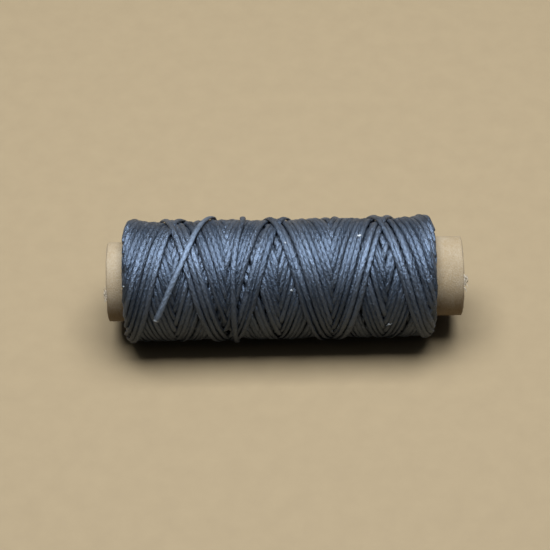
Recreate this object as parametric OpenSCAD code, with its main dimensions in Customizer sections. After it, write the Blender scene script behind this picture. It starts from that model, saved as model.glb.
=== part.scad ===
// Waxed thread spool: a spirally glued paper core that carries a cross-wound package of flat
// braided thread. The spool lies on its side with +X along the core, and the origin is on the
// core's axis, halfway between its rims. Angles round the spool start at the front, which is
// -Y, and rise over the top, which is 90 degrees, to the back, which is 180 degrees.

/* [Core] */
// Length of the core from rim to rim
core_length = 76; // [72:0.5:90]
// Diameter of the bore through the core
bore_diameter = 13; // [10:0.5:13]
// Thickness of one glued paper ply
ply_thickness = 0.5; // [0.4:0.05:0.5]
// Radius of the softened edges at each rim
rim_softening = 0.3; // [0.1:0.05:0.35]

/* [Package] */
// Outside diameter of the full thread package
package_diameter = 26; // [26:0.5:32]
// Length of the package along the core
package_length = 66.6; // [60:0.1:68]
// How far the package's middle lies to the left of the core's middle
package_offset = 1.2; // [0:0.1:2]
// Radius of the package's rounded shoulders
shoulder_radius = 1.5; // [0.8:0.1:2]

/* [Thread] */
// Width of the flat braided thread
thread_width = 1.25; // [1:0.05:1.4]
// Thickness of the flat braided thread
thread_thickness = 0.6; // [0.5:0.05:0.6]
// How far the last full turn lies to the left of the core's middle
lock_wrap_offset = 9.9; // [6:0.1:13]
// How far the last full turn stands proud of the layer that it beds into
lock_wrap_proud = 0.3; // [0.2:0.05:0.4]
// Length of the starting end that is trapped under the first layer
start_end_length = 12; // [8:0.5:20]

/* [Hidden] */
ply_total = 4;
layer_total = 7;

liner_colour = [0.72, 0.62, 0.50];
ply_colour = [0.62, 0.53, 0.43];
cover_colour = [0.80, 0.70, 0.57];
inner_thread_colour = [0.13, 0.14, 0.16];
outer_thread_colour = [0.23, 0.26, 0.31];
tail_colour = [0.30, 0.33, 0.39];

bore_radius = bore_diameter / 2;
core_radius = bore_radius + ply_total * ply_thickness;
package_radius = package_diameter / 2;
package_left = -package_offset - package_length / 2;
layer_build = (package_radius - core_radius) / layer_total;

// Steps in each layer's share of the rounded shoulder
shoulder_steps = 4;
// The starting end begins this far in from the package's left face
start_end_inset = 3;
// Room round the starting end in the first layer
start_end_room = 0.02;
// Roundness of everything that turns on the spool's axis
round_steps = 128;
// Extra depth of a cutter past the face that it cuts
cut_past = 1;

// Middle line of the loose tail, from where it comes out beside the lock wrap to its cut end:
// distance to the left of the lock wrap, angle round the spool, height above the package
tail_route = [
    [1.3, 186, 0.5],
    [2.3, 180, 0.5],
    [3.3, 174, 0.5],
    [4.2, 168, 0.5],
    [4.8, 162, 0.5],
    [5.1, 155, 0.5],
    [5.2, 148, 0.5],
    [5.4, 141, 0.5],
    [5.7, 134, 0.5],
    [6.1, 127, 0.5],
    [6.6, 120, 0.5],
    [7.2, 113, 0.5],
    [7.8, 106, 0.5],
    [8.4, 99, 0.5],
    [9.1, 91, 0.5],
    [9.8, 82, 0.5],
    [10.6, 73, 0.5],
    [11.4, 64, 0.5],
    [12.3, 55, 0.6],
    [13.3, 46, 0.7],
    [14.3, 37, 0.9],
    [15.3, 28, 1.2],
    [16.3, 19, 1.5],
    [17.4, 10, 1.8]
];
tail_sides = 8;

// Half of the package's length at a radius: flat end faces that turn over a round shoulder
function half_length(radius) =
    let (climb = max(0, radius - package_radius + shoulder_radius))
    package_length / 2 - shoulder_radius + sqrt(pow(shoulder_radius, 2) - pow(climb, 2));

// A place on the spool from its distance along, its angle round and its distance from the axis
function on_spool(along, angle, radius) = [along, -radius * cos(angle), radius * sin(angle)];

function unit(v) = v / norm(v);

function tail_point(number) =
    let (place = tail_route[number])
    on_spool(-lock_wrap_offset - place[0], place[1], package_radius + place[2]);

function tail_direction(number) =
    unit(tail_point(min(number + 1, len(tail_route) - 1)) - tail_point(max(number - 1, 0)));

// One flat oval ring of the tail, which lies with its width along the package's surface
function tail_ring(number) =
    let (
        middle = tail_point(number),
        forward = tail_direction(number),
        outward = on_spool(0, tail_route[number][1], 1),
        sideways = unit(cross(forward, outward)),
        upright = cross(sideways, forward)
    )
    [
        for (side = [0:tail_sides - 1])
            let (turn = (side + 0.5) * 360 / tail_sides)
            middle
                + sideways * cos(turn) * thread_width / 2
                + upright * sin(turn) * thread_thickness / 2
    ];

// Stands a profile that is drawn as radius and height round the spool's axis
module turned_on_axis() {
    rotate([0, 90, 0])
    rotate_extrude($fn = round_steps)
    children();
}

// The sliver that rounds a square corner: side is 1 for an outer edge and -1 for an inner one
module corner_sliver(tip_radius, tip_height, side) {
    end = sign(tip_height);
    centre = [tip_radius - side * rim_softening, tip_height - end * rim_softening];
    difference() {
        translate(centre + [side, end] * (rim_softening + cut_past) / 2)
        square(rim_softening + cut_past, center = true);
        translate(centre)
        circle(rim_softening, $fn = 48);
    }
}

// One paper ply as a full tube, counted outwards from the bore
module paper_ply(number, softened_side = 0) {
    inner = bore_radius + (number - 1) * ply_thickness;
    edge = softened_side > 0 ? inner + ply_thickness : inner;
    turned_on_axis()
    difference() {
        translate([inner, -core_length / 2])
        square([ply_thickness, core_length]);
        if (softened_side != 0) {
            for (end = [-1, 1]) {
                corner_sliver(edge, end * core_length / 2, softened_side);
            }
        }
    }
}

module core_liner_ply() {
    color(liner_colour)
    paper_ply(1, -1);
}

module core_inner_ply() {
    color(ply_colour)
    paper_ply(2);
}

module core_outer_ply() {
    color(ply_colour)
    paper_ply(3);
}

module core_cover_ply() {
    color(cover_colour)
    paper_ply(4, 1);
}

// The flat strip of thread that runs along the core, with room added where it is a cutter
module start_strip(room) {
    strip_length = start_end_length + 2 * room;
    strip_width = thread_width + 2 * room;
    strip_top = core_radius + thread_thickness + room;
    intersection() {
        translate([package_left + start_end_inset - room, 0, 0])
        rotate([0, 90, 0])
        difference() {
            cylinder(h = strip_length, r = strip_top, $fn = round_steps);
            translate([0, 0, -cut_past])
            cylinder(h = strip_length + 2 * cut_past, r = core_radius, $fn = round_steps);
        }
        translate([package_left, -strip_width / 2, 0])
        cube([package_length, strip_width, strip_top]);
    }
}

module thread_start_end() {
    color(inner_thread_colour)
    start_strip(0);
}

// One full turn of flat thread round the package, square to the core
module full_turn() {
    flat_width = thread_width - thread_thickness;
    translate([-lock_wrap_offset, 0, 0])
    turned_on_axis()
    translate([package_radius + lock_wrap_proud - thread_thickness / 2, 0]) {
        square([thread_thickness, flat_width], center = true);
        for (end = [-1, 1]) {
            translate([0, end * flat_width / 2])
            circle(thread_thickness / 2, $fn = 32);
        }
    }
}

// One wound layer of the package, counted outwards from the core. The first one leaves room for
// the starting end, and the last one has a groove where the lock wrap beds into it.
module thread_layer(number) {
    inner = core_radius + (number - 1) * layer_build;
    radii = [for (step = [0:shoulder_steps]) inner + step * layer_build / shoulder_steps];
    far_end = [for (radius = radii) [radius, half_length(radius)]];
    near_end = [for (step = [shoulder_steps:-1:0]) [radii[step], -half_length(radii[step])]];
    color(number == layer_total ? outer_thread_colour : inner_thread_colour)
    difference() {
        translate([-package_offset, 0, 0])
        turned_on_axis()
        polygon(concat(far_end, near_end));
        if (number == 1) {
            start_strip(start_end_room);
        }
        if (number == layer_total) {
            full_turn();
        }
    }
}

// The last full turn of thread, which holds the tail down where it crosses it
module lock_wrap() {
    color(outer_thread_colour)
    full_turn();
}

// The loose end of the thread, swept along its route as one closed tube
module thread_tail() {
    last = len(tail_route) - 1;
    corners = [for (number = [0:last]) each tail_ring(number)];
    walls = [
        for (number = [0:last - 1], side = [0:tail_sides - 1])
            let (
                near = number * tail_sides,
                far = near + tail_sides,
                next = (side + 1) % tail_sides
            )
            each [[near + side, near + next, far + next], [near + side, far + next, far + side]]
    ];
    first_cap = [for (side = [tail_sides - 1:-1:0]) side];
    last_cap = [for (side = [0:tail_sides - 1]) last * tail_sides + side];
    color(tail_colour)
    polyhedron(points = corners, faces = concat([first_cap, last_cap], walls));
}

core_liner_ply();
core_inner_ply();
core_outer_ply();
core_cover_ply();
thread_start_end();
for (number = [1:layer_total]) {
    thread_layer(number);
}
lock_wrap();
thread_tail();
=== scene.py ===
import math

import bpy
import numpy as np
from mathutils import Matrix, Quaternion, Vector


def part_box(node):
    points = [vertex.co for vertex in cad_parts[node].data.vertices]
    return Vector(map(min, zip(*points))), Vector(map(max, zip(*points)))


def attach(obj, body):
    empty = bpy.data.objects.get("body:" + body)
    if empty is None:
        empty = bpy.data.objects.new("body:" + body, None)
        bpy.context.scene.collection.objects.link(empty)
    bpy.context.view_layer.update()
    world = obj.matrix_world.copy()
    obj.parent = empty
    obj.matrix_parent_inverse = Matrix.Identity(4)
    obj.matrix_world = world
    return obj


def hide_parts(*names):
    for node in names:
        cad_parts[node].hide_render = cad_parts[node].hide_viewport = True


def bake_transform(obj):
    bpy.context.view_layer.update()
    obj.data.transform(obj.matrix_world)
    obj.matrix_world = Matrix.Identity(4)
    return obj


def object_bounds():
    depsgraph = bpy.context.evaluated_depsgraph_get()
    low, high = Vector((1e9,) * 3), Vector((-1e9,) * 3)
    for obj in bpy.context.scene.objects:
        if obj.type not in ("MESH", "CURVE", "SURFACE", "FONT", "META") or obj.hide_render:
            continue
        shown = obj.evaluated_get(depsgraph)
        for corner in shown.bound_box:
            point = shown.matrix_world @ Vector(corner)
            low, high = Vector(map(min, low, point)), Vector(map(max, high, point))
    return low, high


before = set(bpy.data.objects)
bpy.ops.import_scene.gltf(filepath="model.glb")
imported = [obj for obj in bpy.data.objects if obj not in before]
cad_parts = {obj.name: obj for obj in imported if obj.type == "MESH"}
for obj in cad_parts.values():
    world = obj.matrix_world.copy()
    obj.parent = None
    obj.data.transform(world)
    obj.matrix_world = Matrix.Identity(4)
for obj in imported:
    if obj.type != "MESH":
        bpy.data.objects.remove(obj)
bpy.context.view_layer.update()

# ---------------------------------------------------------------- sizes, in metres

core_low, core_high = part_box("core_cover_ply")
package_low, package_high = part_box("thread_layer_7")
wrap_low, wrap_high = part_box("lock_wrap")
start_low, start_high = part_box("thread_start_end")

core_radius = core_high.z
package_radius = package_high.z
package_start = package_low.x
package_end = package_high.x
lock_wrap_x = (wrap_low.x + wrap_high.x) / 2

thread_width = 0.00125
thread_thickness = 0.0006
ply_thickness = 0.0005

# How the thread was wound: a guide goes to and fro along the core while the core turns.
layer_count = 7
double_strokes = 64
turns_per_double_stroke = 6
winding_seed = 3
# How far each double stroke lands beside the one before it.
band_step = 0.00108
# Where the last double stroke starts, from the front over the top.
last_start_angle = math.radians(295)
# How much of a turn the guide takes to turn back at each end.
turn_rounding = 0.08
# How far the guide stays inside the package's faces, in thread widths.
guide_margin = 0.3
# The guide's own errors: in where it turns back, and in where a stroke lies.
turn_back_error = 0.00012
stroke_error = 0.00013
# The share of its thickness that a strand keeps under tension.
strand_give = 0.85
# Distances over which a taut strand bridges hollows, in samples along it.
bridging_reaches = (40, 28, 20, 14, 10, 7, 5, 3, 2, 1)
# The steepest lean of a strand on uneven ground, as a slope.
steepest_lean = 0.45

# The grid that records how high the package has grown, along x and around it.
grid_step = 0.0002
sectors = 512
samples_per_turn = 480

# How the package evens out as it grows, and the relief that its strands keep.
shoulder_radius = 0.0015
settling_reach = 0.003
relief_limit = 0.0004
# This many of the last double strokes sink with the package, the first of them only partly.
sinking_strokes = 40
partly_sinking_strokes = 20
# The lock wrap presses the strands under it down this far, within this reach.
cinch_depth = 0.00028
cinch_reach = 0.0010

# A strand's own unevenness: the length over which it varies, and how much of each size.
uneven_reach = 0.0009
width_spread = 0.05
thickness_spread = 0.08
strand_seed = 5
# Points along the tail and the stretch that is tucked in before it, and sides round them.
tail_step = 0.0002
tail_sides = 16
# The outer layers, which can be seen, have finer strands than the ones under them.
visible_layers = 2

# The core's rings of points, as start, end and spacing from a rim: fine ones, then coarse ones.
fine_rings = (0.0006, 0.0085, 0.00035)
coarse_rings = (0.0085, 0.0375, 0.0012)
core_segments = 224
# How ragged its rims are: slow waves and finer fuzz, and how far in from the rim they reach.
rim_waves = 0.00009
rim_fuzz = 0.00003
rim_reach = 0.0012
# The ragged line at the far rim is turned by this many segments.
far_rim_turn = 40
# The cover's spiral seam: its climb in one turn, its depth, and how far it spreads.
seam_lead = 0.030
seam_depth = 0.00007
seam_spread = 0.00045

# The lock wrap's wander: angle from the front over the top, in degrees, and shift along x.
lock_wrap_shift = [
    (0, -0.00095), (12, -0.00098), (24, -0.00100), (36, -0.00103), (48, -0.00100),
    (60, -0.00082), (70, -0.00060), (80, -0.00030), (90, 0.00010), (100, 0.00060),
    (108, 0.00088), (116, 0.00104), (124, 0.00110), (140, 0.00108), (170, 0.00085),
    (200, 0.00045), (230, 0.00005), (260, -0.00025), (290, -0.00042), (315, -0.00052),
    (330, -0.00065), (345, -0.00080),
]

# Specks of lint on the package: place along x, angle from the front over the top, length.
lint_places = [
    (0.0158, 88, 0.00085), (0.0012, 34, 0.00060), (0.0218, -6, 0.00065),
    (0.0002, 80, 0.00050), (-0.0338, 40, 0.00045),
]

# The route of the stretch that is tucked under the lock wrap, measured like the tail's.
tucked_route = [
    (-0.0019, 205, -0.0011), (-0.0010, 200, -0.0007), (-0.0003, 196, -0.0003),
    (0.0004, 192, 0.0001), (0.0013, 186, 0.0005),
]

# The tail's route: distance left of the lock wrap, angle from the front over the top in
# degrees, and height above the package. The points are the same as the CAD part's.
tail_route = [
    (0.0013, 186, 0.0005), (0.0023, 180, 0.0005), (0.0033, 174, 0.0005),
    (0.0042, 168, 0.0005), (0.0048, 162, 0.0005), (0.0051, 155, 0.0005),
    (0.0052, 148, 0.0005), (0.0054, 141, 0.0005), (0.0057, 134, 0.0005),
    (0.0061, 127, 0.0005), (0.0066, 120, 0.0005), (0.0072, 113, 0.0005),
    (0.0078, 106, 0.0005), (0.0084, 99, 0.0005), (0.0091, 91, 0.0005),
    (0.0098, 82, 0.0005), (0.0106, 73, 0.0005), (0.0114, 64, 0.0005),
    (0.0123, 55, 0.0006), (0.0133, 46, 0.0007), (0.0143, 37, 0.0009),
    (0.0153, 28, 0.0012), (0.0163, 19, 0.0015), (0.0174, 10, 0.0018),
]


# ---------------------------------------------------------------- small helpers

core_axis = np.array([1.0, 0.0, 0.0])


def on_spool(along, angle, radius):
    """Points at a place along the axis, an angle from the front over the top, and a radius."""
    return np.stack([along, -radius * np.cos(angle), radius * np.sin(angle)], axis=-1)


def along_route(route):
    """Points for places left of the lock wrap, at an angle in degrees, above the package."""
    return [
        on_spool(lock_wrap_x - left, math.radians(angle), package_radius + above)
        for left, angle, above in route
    ]


def wrap_place(angle):
    """Where the lock wrap lies along the axis: left of its place in front, right of it on top."""
    degrees = np.degrees(angle) % 360
    known = np.array(lock_wrap_shift)
    around = np.concatenate([known[:, 0] - 360, known[:, 0], known[:, 0] + 360])
    shift = np.interp(degrees, around, np.tile(known[:, 1], 3))
    return lock_wrap_x + shift


def moved_along(values, count):
    """The values shifted by count places, with the end value repeated."""
    places = np.clip(np.arange(len(values)) + count, 0, len(values) - 1)
    return values[places]


def smooth_line(values, reach):
    """A Gaussian average along a line of values, reach samples wide."""
    offsets = np.arange(-3 * reach, 3 * reach + 1)
    weights = np.exp(-0.5 * (offsets / reach) ** 2)
    padded = np.pad(values, 3 * reach, mode="edge")
    return np.convolve(padded, weights / weights.sum(), mode="valid")


def wander(random, count, reach):
    """Smooth random values along a line, spread about one either way."""
    values = smooth_line(random.normal(0, 1, count), reach)
    return values * math.sqrt(2 * math.sqrt(math.pi) * reach)


def smooth_field(field, reach_along, reach_around):
    """A Gaussian average of a grid that closes on itself around and ends along."""
    mirrored = np.concatenate([field, field[::-1]])
    along = np.fft.fftfreq(mirrored.shape[0])[:, None] * reach_along
    around = np.fft.rfftfreq(mirrored.shape[1])[None, :] * reach_around
    falloff = np.exp(-2 * math.pi**2 * (along**2 + around**2))
    smoothed = np.fft.irfft2(np.fft.rfft2(mirrored) * falloff, s=mirrored.shape)
    return smoothed[: len(field)]


def normalised(vectors):
    return vectors / np.linalg.norm(vectors, axis=-1, keepdims=True)


def curve_through(points, step):
    """A smooth line through given points, with a sample about every step metres."""
    points = np.array(points, float)
    spans = np.linalg.norm(np.diff(points, axis=0), axis=1)
    knots = np.concatenate([[0], np.cumsum(spans)])
    slopes = np.gradient(points, knots, axis=0)
    line = []
    for index, span in enumerate(spans):
        count = max(2, int(round(span / step)))
        t = np.linspace(0, 1, count, endpoint=False)[:, None]
        line.append(
            (2 * t**3 - 3 * t**2 + 1) * points[index]
            + (t**3 - 2 * t**2 + t) * span * slopes[index]
            + (3 * t**2 - 2 * t**3) * points[index + 1]
            + (t**3 - t**2) * span * slopes[index + 1]
        )
    line.append(points[-1:])
    return np.concatenate(line)


# ---------------------------------------------------------------- winding the package

def traverse(share, turns, turn_pitch, first_x):
    """Where the thread guide is along the core at a share of a double stroke."""
    from_turn = np.minimum(np.minimum(share, 1 - share), np.abs(share - 0.5))
    rounding = turn_rounding / turns / 2
    eased = np.where(
        from_turn < rounding, from_turn**2 / rounding + rounding, 2 * from_turn
    )
    climb = np.where(np.abs(share - 0.5) < 0.25, 1 - eased, eased)
    return first_x + climb * turn_pitch * turns / 2


def pull_taut(rise, step, radius):
    """A thread under tension bridges hollows in a straight line, which dips on a round."""
    for reach in bridging_reaches:
        chord = (moved_along(rise, -reach) + moved_along(rise, reach)) / 2
        rise = np.maximum(rise, chord - (reach * step) ** 2 / (2 * radius))
    return rise


class Package:
    """The growing package: its height everywhere, and every stroke of thread laid on it."""

    def __init__(self):
        self.columns = int(round((package_end - package_start) / grid_step))
        self.height = np.full((self.columns, sectors), core_radius)
        self.settled = np.zeros((self.columns, sectors))
        self.strokes = []
        self.last_rise = core_radius

    def cells(self, x, angle):
        column = np.clip(
            ((x - package_start) / grid_step).astype(int), 0, self.columns - 1
        )
        sector = np.round(angle / (2 * math.pi) * sectors).astype(int) % sectors
        return column, sector

    def lay(self, x, angle, radius, twist):
        """Lays one stroke on the package and raises the height under it."""
        step = np.hypot(np.gradient(x), np.gradient(angle) * radius)
        lean_along = np.gradient(x) / step
        lean_around = np.gradient(angle) * radius / step

        def beside(across):
            sideways = across * thread_width
            return self.cells(
                x + sideways * lean_around, angle - sideways * lean_along / radius
            )

        # Places across the strand's width are shares of it, from -0.5 to 0.5.
        half = strand_give * thread_thickness / 2
        contact = np.array(
            [
                self.height[beside(across)] + half * math.sqrt(1 - (2 * across) ** 2)
                for across in np.linspace(-0.46, 0.46, 9)
            ]
        )
        rise = smooth_line(pull_taut(contact.max(0), step.mean(), radius), 3)
        # The stroke runs on from the height at which the one before it ended.
        run_in = 60
        fade = np.clip(1 - np.arange(len(x)) / run_in, 0, 1)
        rise += (self.last_rise - rise[0]) * fade**2 * (3 - 2 * fade)
        self.last_rise = rise[-1]
        edge_to_edge = 0.9 * thread_width
        slope = (contact[-2:].mean(0) - contact[:2].mean(0)) / edge_to_edge
        lean = np.arctan(np.clip(slope, -steepest_lean, steepest_lean))
        roll = smooth_line(lean, 8) + twist
        for across in np.linspace(-0.5, 0.5, 13):
            top = rise + half * math.sqrt(1 - (1.96 * across) ** 2)
            np.maximum.at(self.height, beside(across), top)
        here = self.cells(x, angle)
        self.strokes.append(
            {
                "x": x,
                "angle": angle,
                "radius": rise,
                "roll": roll,
                "cells": here,
                "settled": self.settled[here],
            }
        )

    def settle(self, grown, radius):
        """The tension evens the package out towards its true outline as it grows."""
        along = package_start + (np.arange(self.columns) + 0.5) * grid_step
        middle = (package_start + package_end) / 2
        reach = (package_end - package_start) / 2 - shoulder_radius
        past = np.maximum(np.abs(along - middle) - reach, 0)
        drop = shoulder_radius - np.sqrt(
            np.maximum(shoulder_radius**2 - past**2, 0)
        )
        crown = thread_thickness / 6
        full = package_radius - crown
        level = core_radius + (full - core_radius - drop) * grown
        around = settling_reach / (2 * math.pi * radius / sectors)
        relief = self.height - smooth_field(
            self.height, settling_reach / grid_step, around
        )
        pressed = level[:, None] + relief_limit * np.tanh(relief / relief_limit)
        self.settled += pressed - self.height
        self.height = pressed

    def let_down(self):
        """Moves the strands of the visible shell with the settling since they were laid."""
        for number, stroke in enumerate(self.strokes):
            into_shell = number / 2 - double_strokes + sinking_strokes
            recent = np.clip(into_shell / partly_sinking_strokes, 0, 1)
            since = self.settled[stroke["cells"]] - stroke["settled"]
            off_wrap = (stroke["x"] - wrap_place(stroke["angle"])) / cinch_reach
            cinched = cinch_depth * np.exp(-(off_wrap**2))
            stroke["radius"] += recent * (smooth_line(since, 4) - cinched)


def wind_package():
    """Winds all the thread on, stroke by stroke, and returns the package."""
    random = np.random.default_rng(winding_seed)
    margin = guide_margin * thread_width
    travel = package_end - package_start - 2 * margin
    # Each double stroke falls short of whole turns by the band step, which fixes the pitch.
    turn_pitch = 2 * travel / turns_per_double_stroke
    for _ in range(4):
        turns = turns_per_double_stroke - band_step / turn_pitch
        turn_pitch = 2 * travel / (turns - turn_rounding)
    first_x = package_start + margin - turn_pitch * turn_rounding / 4
    samples = int(turns / 2 * samples_per_turn)
    # An error in turning back dies out over a sixth of the travel, and a stroke can only sway
    # freely an eighth of the travel away from each end.
    turn_back_part, in_line_part = 6, 8
    package = Package()
    for double in range(double_strokes):
        grown = (double + 1) / double_strokes
        radius = core_radius + (package_radius - core_radius) * grown
        inset = np.abs(random.normal(0, turn_back_error, 2))
        shift = random.normal(0, stroke_error)
        for half in (0, 1):
            turn = np.linspace(half, half + 1, samples) * turns / 2
            x = traverse(turn / turns, turns, turn_pitch, first_x)
            fraction = (x - package_start - margin) / travel
            near_start = np.clip(1 - fraction * turn_back_part, 0, 1) ** 2
            near_end = np.clip(1 - (1 - fraction) * turn_back_part, 0, 1) ** 2
            free = np.clip(np.minimum(fraction, 1 - fraction) * in_line_part, 0, 1)
            waves = random.uniform(0.25, 0.9, 2)
            phases = random.uniform(0, 2 * math.pi, 2)
            sizes = random.normal(0, stroke_error, 2)
            sway = shift
            for wave, phase, size in zip(waves, phases, sizes):
                sway = sway + size * np.sin(2 * math.pi * wave * turn + phase)
            x = x + inset[0] * near_start - inset[1] * near_end + free * sway
            x = np.clip(x, package_start + margin, package_end - margin)
            strokes_left = double_strokes - 1 - double
            angle = last_start_angle + 2 * math.pi * (turn - strokes_left * turns)
            short_twist = 0.10 * wander(random, samples, 24)
            long_twist = 0.15 * wander(random, samples, 90)
            twist = (short_twist + long_twist) * (0.3 + 0.7 * free)
            package.lay(x, angle, radius, twist)
        package.settle(grown, radius)
    package.let_down()
    return package


# ---------------------------------------------------------------- meshes

def new_piece(name, points, faces, body="spool"):
    """A mesh object from arrays of points and of faces, riding on a CAD body."""
    mesh = bpy.data.meshes.new(name)
    mesh.from_pydata(points.tolist(), [], faces)
    mesh.update()
    piece = bpy.data.objects.new(name, mesh)
    bpy.context.scene.collection.objects.link(piece)
    if body:
        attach(piece, body)
    return piece


def tube(line, outward, wide, high, sides, roll=None):
    """Points and faces of a closed oval tube; wide and high are its half sizes along the line."""
    line = np.asarray(line, float)
    count = len(line)
    tangent = normalised(np.gradient(line, axis=0))
    across = normalised(np.cross(tangent, outward))
    up = np.cross(across, tangent)
    if roll is not None:
        turned = np.cos(roll)[:, None] * across + np.sin(roll)[:, None] * up
        up = np.cos(roll)[:, None] * up - np.sin(roll)[:, None] * across
        across = turned
    around = 2 * math.pi * np.arange(sides) / sides
    points = (
        line[:, None, :]
        + across[:, None, :] * (wide[:, None] * np.cos(around))[:, :, None]
        + up[:, None, :] * (high[:, None] * np.sin(around))[:, :, None]
    )
    ring = np.arange(count - 1)[:, None] * sides
    side = np.arange(sides)[None, :]
    following = (side + 1) % sides
    quads = np.stack(
        [ring + side, ring + following, ring + sides + following, ring + sides + side],
        axis=-1,
    ).reshape(-1, 4)
    first_cap = list(range(sides))[::-1]
    last_cap = list(range((count - 1) * sides, count * sides))
    return points.reshape(-1, 3), quads.tolist() + [first_cap, last_cap]


def strand(name, line, outward, material, roll=None, sides=12, body="spool"):
    """A flat, slightly uneven strand of thread, with its broad side facing outward."""
    random = np.random.default_rng(strand_seed)
    count = len(line)
    steps = np.linalg.norm(np.diff(line, axis=0), axis=1)
    reach = max(1, round(uneven_reach / steps.mean()))
    wider = width_spread * np.clip(wander(random, count, reach), -2, 1)
    thicker = thickness_spread * np.clip(wander(random, count, reach), -2, 1)
    wide = thread_width / 2 * (1 + wider)
    high = thread_thickness / 2 * (1 + thicker)
    points, faces = tube(line, outward, wide, high, sides, roll)
    piece = new_piece(name, points, faces, body)
    mesh = piece.data
    smooth = np.ones(len(faces), bool)
    smooth[-2:] = False
    mesh.polygons.foreach_set("use_smooth", smooth)
    # The UV map gives millimetres along the strand, and the share of the way round it.
    travelled = 1000 * np.concatenate([[0], np.cumsum(steps)])
    layer = mesh.uv_layers.new(name="along_thread")
    corners = np.zeros(len(mesh.loops), int)
    mesh.loops.foreach_get("vertex_index", corners)
    turned_by = (corners % sides) / sides
    seam_side = np.repeat(np.tile(np.arange(sides) == sides - 1, count - 1), 4)
    seam_side = np.concatenate([seam_side, np.zeros(2 * sides, bool)])
    turned_by = np.where(seam_side & (turned_by == 0), 1.0, turned_by)
    uv = np.stack([travelled[corners // sides], turned_by], axis=-1)
    layer.data.foreach_set("uv", uv.astype(np.float32).ravel())
    mesh.materials.append(material)
    return piece


def gathered(name, tubes, material):
    """Many small tubes as one piece on the spool."""
    points, faces = [], []
    for tube_points, tube_faces in tubes:
        first = sum(len(group) for group in points)
        points.append(tube_points)
        faces += [[first + corner for corner in face] for face in tube_faces]
    piece = new_piece(name, np.concatenate(points), faces)
    piece.data.polygons.foreach_set("use_smooth", np.ones(len(faces), bool))
    piece.data.materials.append(material)


def revolved(name, rings, segments, material, warp):
    """A closed ring-shaped piece about the x axis; rings are (x, radius) around its section."""
    rings = np.array(rings, float)
    count = len(rings)
    angle = 2 * math.pi * np.arange(segments) / segments
    x = np.repeat(rings[:, 0][:, None], segments, axis=1)
    radius = np.repeat(rings[:, 1][:, None], segments, axis=1)
    spread = np.repeat(angle[None, :], count, axis=0)
    x, radius = warp(x, radius, spread)
    points = on_spool(x, spread, radius).reshape(-1, 3)
    ring = np.arange(count)[:, None] * segments
    next_ring = (np.arange(count)[:, None] + 1) % count * segments
    side = np.arange(segments)[None, :]
    following = (side + 1) % segments
    quads = np.stack(
        [ring + side, next_ring + side, next_ring + following, ring + following],
        axis=-1,
    ).reshape(-1, 4)
    piece = new_piece(name, points, quads.tolist())
    piece.data.polygons.foreach_set("use_smooth", np.ones(len(quads), bool))
    piece.data.materials.append(material)
    return piece


# ---------------------------------------------------------------- materials

class Nodes:
    """Shorthand for building one material's node tree."""

    def __init__(self, name):
        self.material = bpy.data.materials.new(name)
        self.material.use_nodes = True
        self.tree = self.material.node_tree
        self.shader = self.tree.nodes["Principled BSDF"]

    def add(self, kind, **settings):
        node = self.tree.nodes.new(kind)
        for key, value in settings.items():
            setattr(node, key, value)
        return node

    def feed(self, socket, value):
        if isinstance(value, bpy.types.NodeSocket):
            self.tree.links.new(value, socket)
        else:
            socket.default_value = value

    def math(self, operation, first, second=0.0):
        node = self.add("ShaderNodeMath", operation=operation)
        self.feed(node.inputs[0], first)
        self.feed(node.inputs[1], second)
        return node.outputs[0]

    def noise(self, vector, scale, detail=2.0, roughness=0.5):
        node = self.add("ShaderNodeTexNoise")
        self.feed(node.inputs["Vector"], vector)
        node.inputs["Scale"].default_value = scale
        node.inputs["Detail"].default_value = detail
        node.inputs["Roughness"].default_value = roughness
        return node.outputs["Fac"]

    def ramp(self, value, *stops):
        node = self.add("ShaderNodeValToRGB")
        self.feed(node.inputs["Fac"], value)
        elements = node.color_ramp.elements
        while len(elements) < len(stops):
            elements.new(0.5)
        for element, (place, colour) in zip(elements, stops):
            element.position = place
            element.color = (*colour, 1.0)
        return node.outputs["Color"]

    def mix(self, share, first, second):
        node = self.add("ShaderNodeMix", data_type="RGBA")
        self.feed(node.inputs[0], share)
        self.feed(node.inputs[6], first)
        self.feed(node.inputs[7], second)
        return node.outputs[2]

    def span(self, value, low, high, from_low=0.0, from_high=1.0):
        node = self.add("ShaderNodeMapRange")
        self.feed(node.inputs["Value"], value)
        node.inputs["From Min"].default_value = from_low
        node.inputs["From Max"].default_value = from_high
        node.inputs["To Min"].default_value = low
        node.inputs["To Max"].default_value = high
        return node.outputs["Result"]

    def swing(self, noise, size, from_low=0.25, from_high=0.75):
        """A noise as a swing of a size either way, from the range that it mostly keeps to."""
        return self.span(noise, -size, size, from_low, from_high)

    def total(self, first, *others):
        for other in others:
            first = self.math("ADD", first, other)
        return first

    def bump(self, height, distance, strength=1.0, under=None):
        node = self.add("ShaderNodeBump")
        self.feed(node.inputs["Height"], height)
        node.inputs["Distance"].default_value = distance
        node.inputs["Strength"].default_value = strength
        if under is not None:
            self.feed(node.inputs["Normal"], under)
        return node.outputs["Normal"]

    def scaled(self, vector, scale):
        node = self.add("ShaderNodeVectorMath", operation="MULTIPLY")
        self.feed(node.inputs[0], vector)
        node.inputs[1].default_value = scale
        return node.outputs[0]


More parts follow.
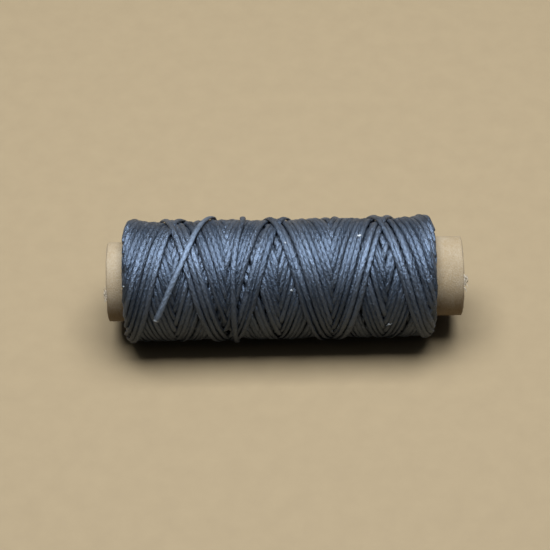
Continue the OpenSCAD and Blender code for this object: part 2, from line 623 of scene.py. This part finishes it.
def thread_material(name, dark, light, coarseness=1.0):
    """Waxed braided polyester: crossing plies, fine grain, painted shade along the edges between
    strands, and duller stretches.
    """
    nodes = Nodes(name)
    place = nodes.add("ShaderNodeUVMap", uv_map="along_thread").outputs["UV"]
    solid = nodes.add("ShaderNodeTexCoord").outputs["Object"]
    drift = nodes.noise(solid, scale=300.0, detail=1.0)
    parts = nodes.add("ShaderNodeSeparateXYZ")
    nodes.feed(parts.inputs[0], place)
    along = nodes.math("ADD", parts.outputs["X"], nodes.span(drift, -1.4, 1.4))
    around = parts.outputs["Y"]
    # The braid's ridges: millimetres from one to the next, and how many there are round it.
    ply_pitch = 1.7
    ply_count = 5.0
    ahead = nodes.math("MULTIPLY", along, 2 * math.pi / ply_pitch)
    spin = nodes.math("MULTIPLY", around, 2 * math.pi * ply_count)
    rising = nodes.math("SINE", nodes.math("ADD", ahead, spin))
    falling = nodes.math("SINE", nodes.math("SUBTRACT", ahead, spin))
    braid = nodes.math("MAXIMUM", rising, falling)

    def streaks(ahead_scale, around_scale, scale, detail, roughness=0.5):
        """A noise on the strand's own map, drawn out along it."""
        drawn_out = nodes.scaled(place, (ahead_scale, around_scale, 1.0))
        return nodes.noise(drawn_out, scale, detail, roughness)

    fibres = streaks(0.9, 26.0, scale=2.2, detail=3.0, roughness=0.6)
    flecks = streaks(0.7, 9.0, scale=1.0, detail=2.0, roughness=0.55)
    grain = nodes.noise(solid, scale=3000.0, detail=2.0, roughness=0.6)
    patches = nodes.noise(solid, scale=260.0, detail=3.0)
    stretches = streaks(0.016, 0.0, scale=1.0, detail=1.0)
    # This is nothing on the strand's broad faces, and one on its two edges, where neighbouring
    # strands shade the crevices between them; it paints that shade into the colour and lowers the
    # gloss there.
    edge = nodes.math("COSINE", nodes.math("MULTIPLY", around, 2 * math.pi))
    edge = nodes.math("ABSOLUTE", edge)
    tone = nodes.total(
        nodes.span(braid, -0.12, 0.12, from_low=-1.0, from_high=1.0),
        patches,
        nodes.swing(fibres, 0.25),
        nodes.swing(flecks, 0.4),
        nodes.swing(grain, 0.3),
        nodes.swing(stretches, 0.42, from_low=0.3, from_high=0.7),
        # Painted shade: the colour darkens towards the strand's edges, in the crevices between
        # strands.
        nodes.span(edge, 0.12, -0.60, from_low=0.45, from_high=1.0),
    )
    colour = nodes.ramp(tone, (0.15, dark), (0.9, light))
    nodes.feed(nodes.shader.inputs["Base Color"], colour)
    dullness = nodes.total(
        nodes.span(patches, 0.375, 0.495),
        nodes.span(grain, -0.10, 0.10),
        nodes.swing(stretches, -0.09, from_low=0.3, from_high=0.7),
    )
    nodes.feed(nodes.shader.inputs["Roughness"], dullness)
    relief = nodes.bump(braid, 0.00003 * coarseness)
    relief = nodes.bump(fibres, 0.00006, strength=0.9, under=relief)
    relief = nodes.bump(flecks, 0.00009 * coarseness, under=relief)
    relief = nodes.bump(grain, 0.00012 * coarseness, under=relief)
    nodes.feed(nodes.shader.inputs["Normal"], relief)
    gloss = nodes.span(edge, 0.92, 0.74, from_low=0.6, from_high=1.0)
    nodes.feed(nodes.shader.inputs["Specular IOR Level"], gloss)
    nodes.shader.inputs["Specular Tint"].default_value = (0.56, 0.72, 1.0, 1.0)
    nodes.shader.inputs["Sheen Weight"].default_value = 0.04
    nodes.shader.inputs["Sheen Roughness"].default_value = 0.4
    nodes.shader.inputs["Sheen Tint"].default_value = (0.55, 0.70, 1.0, 1.0)
    return nodes.material


def paper_material(name, pale, brown):
    """Kraft paper: felted fibres, darker flecks, faint clouds and a dry, dull surface."""
    nodes = Nodes(name)
    solid = nodes.add("ShaderNodeTexCoord").outputs["Object"]
    lengthwise = nodes.scaled(solid, (1.0, 0.35, 0.35))
    fibres = nodes.noise(lengthwise, scale=1800.0, detail=4.0, roughness=0.65)
    clouds = nodes.noise(solid, scale=160.0, detail=3.0)
    flecks = nodes.noise(solid, scale=2700.0, detail=1.0)
    specks = nodes.noise(solid, scale=3600.0)
    tone = nodes.total(nodes.span(fibres, -0.25, 0.25), clouds, nodes.swing(specks, 0.35))
    colour = nodes.ramp(tone, (0.15, brown), (0.85, pale))
    fleck_share = nodes.span(flecks, 0.0, 0.5, from_low=0.66, from_high=0.8)
    fleck_colour = [channel * 0.55 for channel in brown]
    colour = nodes.mix(fleck_share, colour, (*fleck_colour, 1.0))
    nodes.feed(nodes.shader.inputs["Base Color"], colour)
    nodes.feed(nodes.shader.inputs["Roughness"], nodes.span(clouds, 0.72, 0.92))
    relief = nodes.bump(fibres, 0.00006, strength=0.6)
    relief = nodes.bump(specks, 0.00008, strength=0.8, under=relief)
    nodes.feed(nodes.shader.inputs["Normal"], relief)
    nodes.shader.inputs["Specular IOR Level"].default_value = 0.3
    return nodes.material


def fibre_material(name, dark, light):
    """Loose fibre with a slightly uneven tone and no gloss."""
    nodes = Nodes(name)
    solid = nodes.add("ShaderNodeTexCoord").outputs["Object"]
    tone = nodes.noise(solid, scale=3000.0)
    nodes.feed(nodes.shader.inputs["Base Color"], nodes.ramp(tone, (0.3, dark), (0.7, light)))
    nodes.shader.inputs["Roughness"].default_value = 0.9
    return nodes.material


def floor_material():
    """A plain, pale, matt backdrop with the faintest grain."""
    nodes = Nodes("pale_backdrop")
    solid = nodes.add("ShaderNodeTexCoord").outputs["Object"]
    tone = nodes.noise(solid, scale=220.0, detail=4.0, roughness=0.6)
    dark, light = (0.140, 0.098, 0.050), (0.149, 0.105, 0.054)
    nodes.feed(nodes.shader.inputs["Base Color"], nodes.ramp(tone, (0.3, dark), (0.7, light)))
    nodes.shader.inputs["Roughness"].default_value = 0.85
    nodes.feed(nodes.shader.inputs["Normal"], nodes.bump(tone, 0.0001, strength=0.3))
    return nodes.material


slate_thread = thread_material(
    "waxed_slate_thread", dark=(0.002, 0.0022, 0.0026), light=(0.023, 0.025, 0.029)
)
# Painted light: the tail is the same thread as the rest, given a lighter colour for the light that
# it catches as it stands off the package, facing the overhead lamp.
tail_thread_painted_light = thread_material(
    "waxed_slate_tail_painted_light", dark=(0.022, 0.025, 0.030), light=(0.058, 0.066, 0.079), coarseness=0.7
)
cut_thread = thread_material(
    "cut_thread_end", dark=(0.10, 0.105, 0.11), light=(0.26, 0.27, 0.28)
)
cover_paper = paper_material(
    "kraft_cover_paper", pale=(0.188, 0.146, 0.097), brown=(0.146, 0.101, 0.053)
)
board_paper = paper_material(
    "grey_board_paper", pale=(0.180, 0.141, 0.097), brown=(0.130, 0.093, 0.056)
)
liner_paper = paper_material(
    "brown_liner_paper", pale=(0.175, 0.122, 0.072), brown=(0.122, 0.086, 0.048)
)
# Paler than the cover paper: partly the lighter fibres that a tear lays bare, and partly painted
# light that lifts the slivers' shaded undersides, as if light came through them.
torn_paper_pale_and_painted_light = paper_material(
    "torn_paper_fibre", pale=(0.27, 0.225, 0.17), brown=(0.19, 0.15, 0.105)
)
stray_fibre = fibre_material(
    "stray_fibre", dark=(0.08, 0.09, 0.11), light=(0.16, 0.18, 0.21)
)
white_lint = fibre_material(
    "white_lint", dark=(0.20, 0.21, 0.22), light=(0.32, 0.33, 0.34)
)


# ---------------------------------------------------------------- the paper core

def paper_ply(name, node, material, seed, soft_inside, soft_outside, seam=0.0):
    """One wound ply of the core: a tube with soft, uneven rims; seam is its spiral seam's depth."""
    low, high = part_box(node)
    outer = high.z
    inner = outer - ply_thickness
    random = np.random.default_rng(seed)
    wave_count = 10
    phases = random.uniform(0, 2 * math.pi, wave_count)
    sizes = random.uniform(0.3, 1.0, wave_count)
    from_rim = np.concatenate([np.arange(*fine_rings), np.arange(*coarse_rings)])
    along = np.concatenate([low.x + from_rim, (high.x - from_rim)[::-1]])

    def corner(end, side, size, towards_rim):
        """A rounded edge of the section: end picks the rim, side the bore or the outside."""
        rim = low.x if end < 0 else high.x
        edge = outer if side > 0 else inner
        turns = np.linspace(0, math.pi / 2, 5)
        if towards_rim:
            turns = turns[::-1]
        return [
            (rim + end * size * (math.cos(turn) - 1), edge + side * size * (math.sin(turn) - 1))
            for turn in turns
        ]

    rings = corner(-1, -1, soft_inside, True) + corner(-1, 1, soft_outside, False)
    rings += [(x, outer) for x in along]
    rings += corner(1, 1, soft_outside, True) + corner(1, -1, soft_inside, False)
    rings += [(x, inner) for x in along[::-3]]

    def warp(x, radius, angle):
        """Pulls the rims in unevenly, and sinks the seam into the outside."""
        ragged = sum(
            size * np.cos((order + 1) * angle + phase)
            for order, (size, phase) in enumerate(zip(sizes, phases))
        )
        ragged = ragged / np.abs(ragged).max()
        fuzz = np.cos(61 * angle + phases[0]) * np.cos(37 * angle + phases[1])
        pull = rim_waves * (1 + ragged) + rim_fuzz * (1 + fuzz)
        to_start = np.clip(1 - (x - low.x) / rim_reach, 0, 1)
        to_end = np.clip(1 - (high.x - x) / rim_reach, 0, 1)
        x = x + pull * to_start - np.roll(pull, far_rim_turn, axis=1) * to_end
        if seam:
            unwound = x - seam_lead * angle / (2 * math.pi)
            off_seam = (unwound + seam_lead / 2) % seam_lead - seam_lead / 2
            lap = np.exp(-((off_seam / seam_spread) ** 2))
            outer_side = radius > (inner + outer) / 2
            radius = radius - np.where(outer_side, seam * lap, 0)
        return x, radius

    piece = revolved(name, rings, core_segments, material, warp)
    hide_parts(node)


def paper_core():
    """The four glued plies, from the bore outwards, worn where a spindle and hands rub them."""
    crisp = 0.00006
    rubbed = 0.0003
    worn = 0.0004
    paper_ply(
        "core_liner_tube", "core_liner_ply", liner_paper,
        seed=11, soft_inside=rubbed, soft_outside=crisp,
    )
    paper_ply(
        "core_inner_board", "core_inner_ply", board_paper,
        seed=12, soft_inside=crisp, soft_outside=crisp,
    )
    paper_ply(
        "core_outer_board", "core_outer_ply", board_paper,
        seed=13, soft_inside=crisp, soft_outside=crisp,
    )
    paper_ply(
        "core_cover_wrap", "core_cover_ply", cover_paper,
        seed=14, soft_inside=crisp, soft_outside=worn, seam=seam_depth,
    )


def torn_rim(name, rim_x, side, degrees, count, longest, seed):
    """A frayed spot on a rim, where the cover paper tore into curled slivers."""
    random = np.random.default_rng(seed)
    points = 11
    rooted_in = 0.0004
    rooted_under = 0.00022
    slivers = []
    for _ in range(count):
        angle = math.radians(degrees + random.normal(0, 5.0))
        length = longest * random.uniform(0.5, 1.0)
        share = np.linspace(0, 1, points)
        turn = random.choice([-1.0, 1.0]) * random.uniform(0.6, 1.5) * share
        lift = random.uniform(-0.2, 0.7)
        curl = random.uniform(1.2, 2.0)
        x = rim_x + side * (length * 0.75 * np.sin(share * curl) - rooted_in)
        rise = length * (0.15 * share + lift * share**2 * 0.5)
        radius = core_radius - rooted_under + rise
        around = angle + length * share * np.sin(turn) / core_radius
        line = on_spool(x, around, radius)
        notches = 0.8 + 0.2 * np.cos(9 * share + random.uniform(0, 6))
        taper = (1 - share) ** 0.6 * notches + 0.08
        wide = random.uniform(0.00010, 0.00026) * taper
        high = 0.00004 * taper + 0.00001
        outward = on_spool(np.zeros(points), around, 1.0)
        roll = random.normal(0, 0.7) * share
        slivers.append(tube(line, outward, wide, high, 6, roll))
    gathered(name, slivers, torn_paper_pale_and_painted_light)


# ---------------------------------------------------------------- the thread

def stroke_line(strokes, keep_every):
    """One running line through neighbouring strokes, thinned to every few samples."""
    line, outward, roll = [], [], []
    for stroke in strokes:
        places = np.arange(0, len(stroke["x"]) - 1, keep_every)
        angle = stroke["angle"][places]
        line.append(on_spool(stroke["x"][places], angle, stroke["radius"][places]))
        outward.append(on_spool(np.zeros(len(places)), angle, 1.0))
        roll.append(stroke["roll"][places])
    return np.concatenate(line), np.concatenate(outward), np.concatenate(roll)


def thread_passes(package):
    """Each CAD layer of the package as real strands of thread, the visible ones in halves."""
    per_layer = len(package.strokes) / layer_count
    for layer in range(1, layer_count + 1):
        first = round((layer - 1) * per_layer)
        last = round(layer * per_layer)
        strokes = package.strokes[first:last]
        visible = layer > layer_count - visible_layers
        keep_every = 2 if visible else 5
        sides = 12 if visible else 8
        halves = 2 if visible else 1
        for part in range(halves):
            start = part * len(strokes) // halves
            end = (part + 1) * len(strokes) // halves
            line, outward, roll = stroke_line(strokes[start:end], keep_every)
            name = f"thread_pass_{layer}" + ("ab"[part] if visible else "")
            piece = strand(name, line, outward, slate_thread, roll=roll, sides=sides)
            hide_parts(f"thread_layer_{layer}")


def lock_wrap():
    """The last turn, drawn tight round the package, with its ends tucked under its neighbours."""
    first_degree = 196
    last_degree = 587
    degrees = np.arange(first_degree, last_degree, 0.9)
    angle = np.radians(degrees)
    # Over this many degrees at each end the turn dives under its neighbours.
    diving = 16
    dive = np.clip(1 - (degrees - degrees[0]) / diving, 0, 1)
    dive = dive + np.clip(1 - (degrees[-1] - degrees) / diving, 0, 1)
    # Over the last stretch it leans to the right, by nearly a strand's width.
    lean_width = 0.0011
    lean_from = 545
    leaning = np.clip((degrees - lean_from) / (last_degree - lean_from), 0, 1)
    x = smooth_line(wrap_place(angle), 5) + lean_width * leaning**2

    def ridden_up(middle, reach):
        """How far the turn rides up on the strands under it, round about an angle."""
        return 0.00030 * np.exp(-(((degrees - middle) / reach) ** 2))

    radius = package_radius + ridden_up(485, 24) + ridden_up(317, 18) - 0.0007 * dive**2
    outward = on_spool(np.zeros(len(angle)), angle, 1.0)
    piece = strand("lock_wrap_turn", on_spool(x, angle, radius), outward, slate_thread)
    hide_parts("lock_wrap")


def tail_strand(name, route):
    """A strand of the tail's thread along a route of points, and the line that it follows."""
    line = curve_through(route, tail_step)
    outward = normalised(line * np.array([0.0, 1.0, 1.0]))
    return strand(name, line, outward, tail_thread_painted_light, sides=tail_sides, body=None), line


def bend_at_root(piece):
    """Bakes the strand's placement into its points."""
    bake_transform(piece)


def free_tail():
    """The short free end, which lies over the package towards its lower left."""
    route = along_route(tail_route)
    piece, line = tail_strand("thread_free_tail", route)
    # The cut end shows the thread's pale inside, on its last two rings of faces and its cap.
    piece.data.materials.append(cut_thread)
    faces = list(piece.data.polygons)
    for face in faces[-2 - 2 * tail_sides:-2] + [faces[-1]]:
        face.material_index = 1
    bend_at_root(piece)
    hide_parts("thread_tail")


def tucked_root():
    """Where the tail comes out from under the lock wrap at the back."""
    piece, _ = tail_strand("thread_tucked_root", along_route(tucked_route))
    bend_at_root(piece)


def trapped_start(package):
    """The starting end, laid along the core and held down by the first turns over it."""
    first = package.strokes[0]
    lift = core_radius + thread_thickness / 2
    top = math.pi / 2
    joins_at = top + (first["angle"][0] - top) % (2 * math.pi)
    # It runs straight, stops short of the CAD part's end, and curves round to the first stroke.
    straight_points = 30
    curved_points = 60
    curve_room = 0.003
    share = np.linspace(0, 1, curved_points)[1:]
    straight = np.linspace(start_high.x, start_low.x + curve_room, straight_points)
    angle = np.concatenate(
        [np.full(straight_points, top), top + (joins_at - top) * share**1.5]
    )
    bend = 1 - (1 - share) ** 2
    x = np.concatenate([straight, straight[-1] + (first["x"][0] - straight[-1]) * bend])
    radius = np.full(len(x), lift)
    line = on_spool(x, angle, radius)
    outward = on_spool(np.zeros(len(x)), angle, 1.0)
    piece = strand("thread_starting_end", line, outward, slate_thread, sides=8)
    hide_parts("thread_start_end")


def surface_point(package, x, angle, above):
    """A point at a height over the package's own uneven surface."""
    column, sector = package.cells(np.array([x]), np.array([angle]))
    return on_spool(x, angle, package.height[column[0], sector[0]] + above)


def fibre(random, root, heading, outward, length, lift, half_width):
    """A fine curved fibre that starts just under the surface."""
    points = 8
    share = np.linspace(0, 1, points)[:, None]
    sideways = np.cross(outward, heading) * random.normal(0, 0.35)
    rise = lift * np.sin(share * random.uniform(1.6, 2.9))
    line = root + length * (heading * share + sideways * share**2) + outward * rise
    taper = half_width * (1 - 0.6 * share[:, 0])
    return tube(line, np.tile(outward, (points, 1)), taper, taper, sides=4)


def stray_fibres(package):
    """Fine filaments that stand off the thread, which the wax hasn't laid flat."""
    random = np.random.default_rng(21)
    end_margin = 0.002
    fibres = []
    for _ in range(150):
        x = random.uniform(package_start + end_margin, package_end - end_margin)
        angle = random.uniform(0, 2 * math.pi)
        outward = on_spool(0.0, angle, 1.0)
        lean = random.normal(0, 0.5)
        round_spool = np.cross(core_axis, outward)
        heading = math.cos(lean) * round_spool + math.sin(lean) * core_axis
        heading = heading * random.choice([-1.0, 1.0])
        root = surface_point(package, x, angle, above=-0.00008)
        length = random.uniform(0.0007, 0.0022)
        lift = random.uniform(0.00015, 0.00045)
        fibres.append(fibre(random, root, heading, outward, length, lift, half_width=0.000013))
    gathered("thread_stray_fibres", fibres, stray_fibre)


def lint_specks(package):
    """A few specks of white cotton lint caught in the wax."""
    random = np.random.default_rng(22)
    points = 12
    whiskers = 4
    wads = []
    for x, degrees, length in lint_places:
        angle = math.radians(degrees)
        outward = on_spool(0.0, angle, 1.0)
        lean = random.uniform(-0.6, 0.6)
        round_spool = np.cross(core_axis, outward)
        heading = math.cos(lean) * core_axis + math.sin(lean) * round_spool
        sideways = np.cross(outward, heading)
        middle = surface_point(package, x, angle, above=0.00004)
        share = np.linspace(0, 1, points)[:, None]
        wobble = 0.00006 * np.sin(9 * share + random.uniform(0, 6)) * sideways
        line = middle + length * (share - 0.5) * heading + wobble
        fat = np.sqrt(np.clip(1 - (2 * share[:, 0] - 1) ** 2, 0.02, 1))
        fat = fat * (1 + 0.2 * random.normal(0, 1, points))
        facing = np.tile(outward, (points, 1))
        wads.append(tube(line, facing, 0.3 * length * fat, 0.16 * length * fat, sides=8))
        for _ in range(whiskers):
            spread = heading + random.normal(0, 0.6) * sideways
            spread = normalised(spread * random.choice([-1.0, 1.0]))
            whisker = fibre(
                random, middle, spread, outward, 1.2 * length, lift=0.0002, half_width=0.000016
            )
            wads.append(whisker)
    gathered("lint_specks", wads, white_lint)


# ---------------------------------------------------------------- stage, light and camera

def make_floor(height):
    half = 1.2
    corners = [(-half, -half), (half, -half), (half, half), (-half, half)]
    points = np.array([(x, y, height) for x, y in corners])
    floor = new_piece("pale_floor", points, [[0, 1, 2, 3]], None)
    floor.data.materials.append(floor_material())


def soft_light(name, place, size, power, colour):
    """A rectangular softbox that shines on the spool's middle."""
    lamp = bpy.data.lights.new(name, "AREA")
    lamp.shape = "RECTANGLE"
    lamp.size, lamp.size_y = size
    lamp.energy = power
    lamp.color = colour
    light = bpy.data.objects.new(name, lamp)
    light.location = place
    towards_spool = Vector((0, 0, 0)) - Vector(place)
    light.rotation_euler = towards_spool.to_track_quat("-Z", "Y").to_euler()
    bpy.context.scene.collection.objects.link(light)


def make_lights():
    """A big soft light overhead, a wider and weaker one above it, and faint light all round."""
    daylight = (0.84, 0.92, 1.0)
    soft_light("overhead_softbox", (0.0, 0.035, 0.62), (0.60, 0.40), 17.8, daylight)
    soft_light("wide_softbox", (0.0, 0.02, 0.80), (1.6, 1.3), 2.0, daylight)
    world = bpy.data.worlds.new("studio_air")
    world.use_nodes = True
    background = world.node_tree.nodes["Background"]
    background.inputs["Color"].default_value = (0.80, 0.90, 1.0, 1.0)
    background.inputs["Strength"].default_value = 0.06
    bpy.context.scene.world = world


def make_camera():
    """A long lens looking down at 45 degrees, turned a degree so that the spool leans."""
    distance = 0.48
    elevation = math.radians(45)
    roll = math.radians(-1.04)
    aim_left = 0.0021
    aim_up = 0.00084
    back = Vector((0, -math.cos(elevation), math.sin(elevation)))
    up = Vector((0, math.sin(elevation), math.cos(elevation)))
    target = Vector((-aim_left, 0, 0)) + up * aim_up
    lens = bpy.data.cameras.new("studio_camera")
    lens.sensor_width = 36
    lens.lens = 146.1
    lens.clip_start, lens.clip_end = 0.01, 10
    camera = bpy.data.objects.new("studio_camera", lens)
    camera.location = target + back * distance
    camera.rotation_mode = "QUATERNION"
    camera.rotation_quaternion = (-back).to_track_quat("-Z", "Y") @ Quaternion((0, 0, 1), roll)
    bpy.context.scene.collection.objects.link(camera)
    bpy.context.scene.camera = camera


# ---------------------------------------------------------------- build

make_camera()
free_tail()
tucked_root()
package = wind_package()
thread_passes(package)
lock_wrap()
trapped_start(package)
stray_fibres(package)
lint_specks(package)
paper_core()
torn_rim("torn_right_rim", core_high.x, side=1, degrees=36, count=18, longest=0.0014, seed=31)
torn_rim("torn_left_rim", core_low.x, side=-1, degrees=26, count=14, longest=0.0011, seed=32)

visual_low, visual_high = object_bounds()
make_floor(visual_low.z)
make_lights()
bpy.context.scene.view_settings.view_transform = "Standard"
